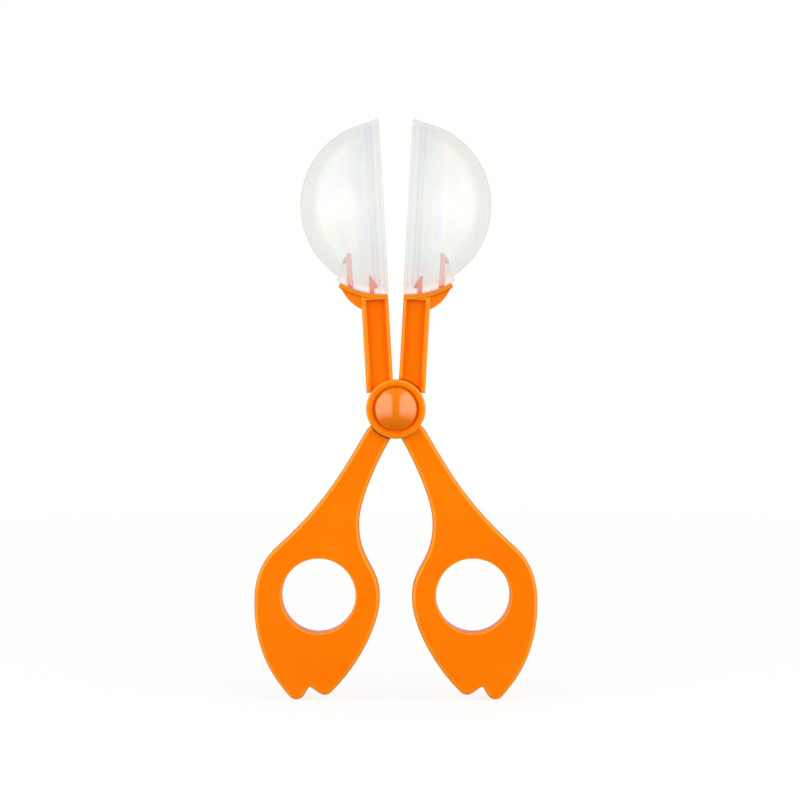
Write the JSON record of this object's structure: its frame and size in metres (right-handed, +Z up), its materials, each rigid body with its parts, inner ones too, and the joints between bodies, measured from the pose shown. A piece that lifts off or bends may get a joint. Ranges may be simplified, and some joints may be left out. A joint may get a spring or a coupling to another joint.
{
  "type": "insect catching scissors",
  "caption": "Crossing plastic scissor arms with round finger holes that close two clear half-round cups into a ball.",
  "frame": {"origin": "centre of the bounding box in X and Y, at the lowest point of the finger plates", "axes": "+Z up from the finger plates to the cups, hinge axis along Y, -Y the front with the domed cap, +X to the right seen from the front"},
  "size_m": [0.085, 0.0524, 0.1743],
  "materials": {
    "orange_plastic": "satin moulded polypropylene",
    "clear_plastic": "clear polished polystyrene",
    "cap_plastic": "polished",
    "screw_steel": "zinc plated"
  },
  "bodies": {
    "front_arm": {"front_arm": "orange_plastic", "left_cup": "clear_plastic", "pivot_cap": "cap_plastic", "pivot_screw": "screw_steel"},
    "rear_arm": {"rear_arm": "orange_plastic", "right_cup": "clear_plastic"}
  },
  "joints": [
    {"name": "arm_pivot", "type": "hinge", "parent": "front_arm", "child": "rear_arm", "pos_m": [0, 0, 0.08708], "axis": [0, 1, 0], "range_deg": [-6.5, 60]}
  ]
}
